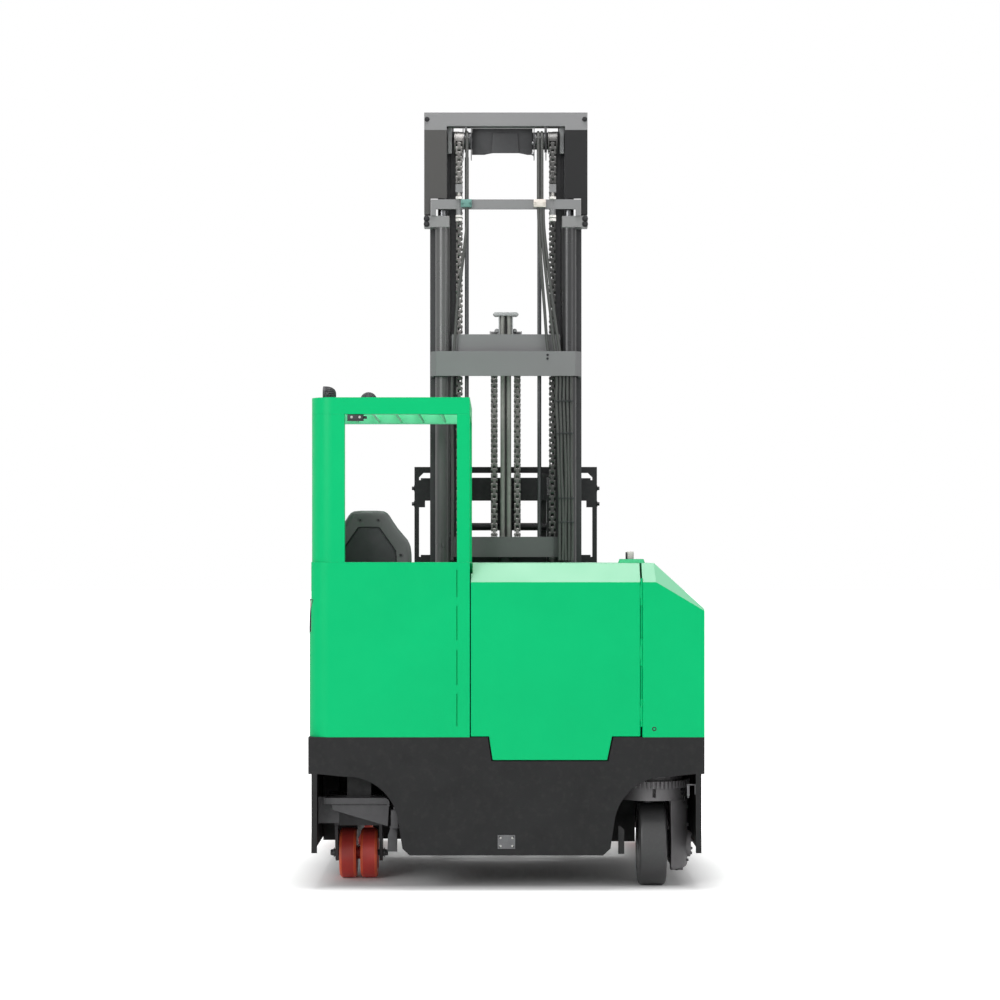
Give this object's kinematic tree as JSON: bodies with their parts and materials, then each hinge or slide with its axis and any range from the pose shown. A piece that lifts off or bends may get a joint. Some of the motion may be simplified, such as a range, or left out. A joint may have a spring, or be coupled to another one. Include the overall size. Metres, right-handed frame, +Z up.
{
  "type": "four-way reach truck",
  "caption": "Four-way reach truck: hooded body with side cab, steered drive wheel, twin castor, support legs with turning load wheels, and a three-stage reach mast with forks.",
  "frame": {"origin": "on the floor, in the middle of the machine's box at rest", "axes": "+X to the right as seen from behind, +Y forward to the fork tips, +Z up"},
  "size_m": [1.764, 2.55, 3.651],
  "materials": {
    "body_paint": "semi-gloss green enamel",
    "base_paint": "satin black enamel",
    "guard_paint": "semi-gloss green enamel",
    "mast_paint": "satin dark grey enamel",
    "member_paint": "satin mid grey enamel",
    "head_paint": "satin light grey enamel",
    "carriage_paint": "satin black enamel",
    "rod_chrome": "hard chrome",
    "barrel_paint": "satin grey enamel",
    "chain_steel": "oiled steel",
    "casting_grey": "painted casting",
    "fork_steel": "black, worn along the blades",
    "drive_tyre": "moulded black tread",
    "castor_tread": "moulded red tread",
    "hose_rubber": "smooth black",
    "pipe_steel": "dark plated",
    "seat_shell": "grained black",
    "seat_pad": "black woven",
    "console_plastic": "grained black",
    "lamp_plastic": "satin black",
    "battery_case": "grained",
    "plate_steel": "plated"
  },
  "bodies": {
    "chassis": {"base_frame": "base_paint", "side_skirts": "base_paint", "support_legs": "base_paint", "wheel_mounts": "casting_grey", "reach_barrel": "barrel_paint", "socket_plate": "plate_steel", "cab_shell": "body_paint", "cab_pillars": "guard_paint", "overhead_guard": "guard_paint", "hood_deck": "body_paint", "right_cover": "body_paint", "battery_block": "battery_case", "seat_base": "console_plastic", "seat_cushion": "seat_pad", "seat_back": "seat_shell", "console": "console_plastic", "steering_wheel": "console_plastic", "pedals": "plate_steel", "deck_handle": "console_plastic", "work_lamps": "lamp_plastic"},
    "battery_door": {"battery_door": "body_paint"},
    "drive_unit": {"drive_casting": "casting_grey"},
    "drive_wheel": {"drive_wheel": "drive_tyre"},
    "castor_fork": {"castor_fork": "casting_grey"},
    "castor_wheels": {"castor_wheels": "castor_tread"},
    "left_load_fork": {"left_load_fork": "casting_grey"},
    "left_load_wheel": {"left_load_wheel": "castor_tread"},
    "right_load_fork": {"right_load_fork": "casting_grey"},
    "right_load_wheel": {"right_load_wheel": "castor_tread"},
    "outer_mast": {"reach_frame": "carriage_paint", "outer_mast_channels": "mast_paint", "outer_cross_members": "member_paint", "lift_barrels": "barrel_paint", "chain_anchor_bar": "head_paint", "outer_hoses": "hose_rubber", "outer_chain_up": "chain_steel"},
    "middle_mast": {"middle_mast_channels": "mast_paint", "middle_mast_head": "head_paint", "middle_cross_members": "member_paint", "lift_rods": "rod_chrome", "head_sheaves": "chain_steel", "middle_pipes": "pipe_steel"},
    "inner_mast": {"inner_mast_channels": "mast_paint", "inner_cross_members": "mast_paint", "free_lift_barrel": "mast_paint", "outer_chain_down": "chain_steel", "centre_chain_up": "chain_steel"},
    "crosshead": {"crosshead": "barrel_paint"},
    "lift_carriage": {"lift_carriage": "carriage_paint", "centre_chain_down": "chain_steel"},
    "tilt_frame": {"tilt_frame": "carriage_paint"},
    "fork_carriage": {"backrest": "carriage_paint", "forks": "fork_steel"}
  },
  "joints": [
    {"name": "battery_door_hinge", "type": "hinge", "parent": "chassis", "child": "battery_door", "pos_m": [0.601, -1.2708, 1], "axis": [0, 0, 1], "range_deg": [0, 100]},
    {"name": "drive_steer", "type": "hinge", "parent": "chassis", "child": "drive_unit", "pos_m": [0.658, -1.045, 0.46], "axis": [0, 0, 1], "range_deg": [-90, 90]},
    {"name": "drive_roll", "type": "hinge", "parent": "drive_unit", "child": "drive_wheel", "pos_m": [0.658, -1.045, 0.185], "axis": [1, 0, 0], "continuous": true},
    {"name": "castor_swivel", "type": "hinge", "parent": "chassis", "child": "castor_fork", "pos_m": [-0.681, -0.845, 0.36], "axis": [0, 0, 1], "continuous": true},
    {"name": "castor_roll", "type": "hinge", "parent": "castor_fork", "child": "castor_wheels", "pos_m": [-0.681, -0.807, 0.115], "axis": [1, 0, 0], "continuous": true},
    {"name": "left_load_steer", "type": "hinge", "parent": "chassis", "child": "left_load_fork", "pos_m": [-0.731, 0.475, 0.3], "axis": [0, 0, 1], "range_deg": [-90, 90]},
    {"name": "left_load_roll", "type": "hinge", "parent": "left_load_fork", "child": "left_load_wheel", "pos_m": [-0.731, 0.475, 0.125], "axis": [1, 0, 0], "continuous": true},
    {"name": "right_load_steer", "type": "hinge", "parent": "chassis", "child": "right_load_fork", "pos_m": [0.731, 0.475, 0.3], "axis": [0, 0, 1], "range_deg": [-90, 90]},
    {"name": "right_load_roll", "type": "hinge", "parent": "right_load_fork", "child": "right_load_wheel", "pos_m": [0.731, 0.475, 0.125], "axis": [1, 0, 0], "continuous": true},
    {"name": "reach", "type": "slide", "parent": "chassis", "child": "outer_mast", "axis": [0, 1, 0], "range_m": [0, 0.5]},
    {"name": "mast_lift", "type": "slide", "parent": "outer_mast", "child": "middle_mast", "axis": [0, 0, 1], "range_m": [0, 2.5], "deforming": ["outer_chain_up"]},
    {"name": "inner_lift", "type": "slide", "parent": "middle_mast", "child": "inner_mast", "axis": [0, 0, 1], "range_m": [0, 2.5], "deforming": ["outer_chain_down"]},
    {"name": "free_lift", "type": "slide", "parent": "inner_mast", "child": "crosshead", "axis": [0, 0, 1], "range_m": [-0.62, 0.78], "deforming": ["centre_chain_up"]},
    {"name": "carriage_lift", "type": "slide", "parent": "crosshead", "child": "lift_carriage", "axis": [0, 0, 1], "range_m": [-0.62, 0.78], "deforming": ["centre_chain_down"]},
    {"name": "fork_tilt", "type": "hinge", "parent": "lift_carriage", "child": "tilt_frame", "pos_m": [0, 0.051, 1.635], "axis": [1, 0, 0], "range_deg": [-2.5, 2.5]},
    {"name": "side_shift", "type": "slide", "parent": "tilt_frame", "child": "fork_carriage", "axis": [1, 0, 0], "range_m": [-0.1, 0.1]}
  ],
  "couplings": [
    {"joint": "inner_lift", "follows": "mast_lift", "ratio": 1},
    {"joint": "carriage_lift", "follows": "free_lift", "ratio": 1}
  ]
}
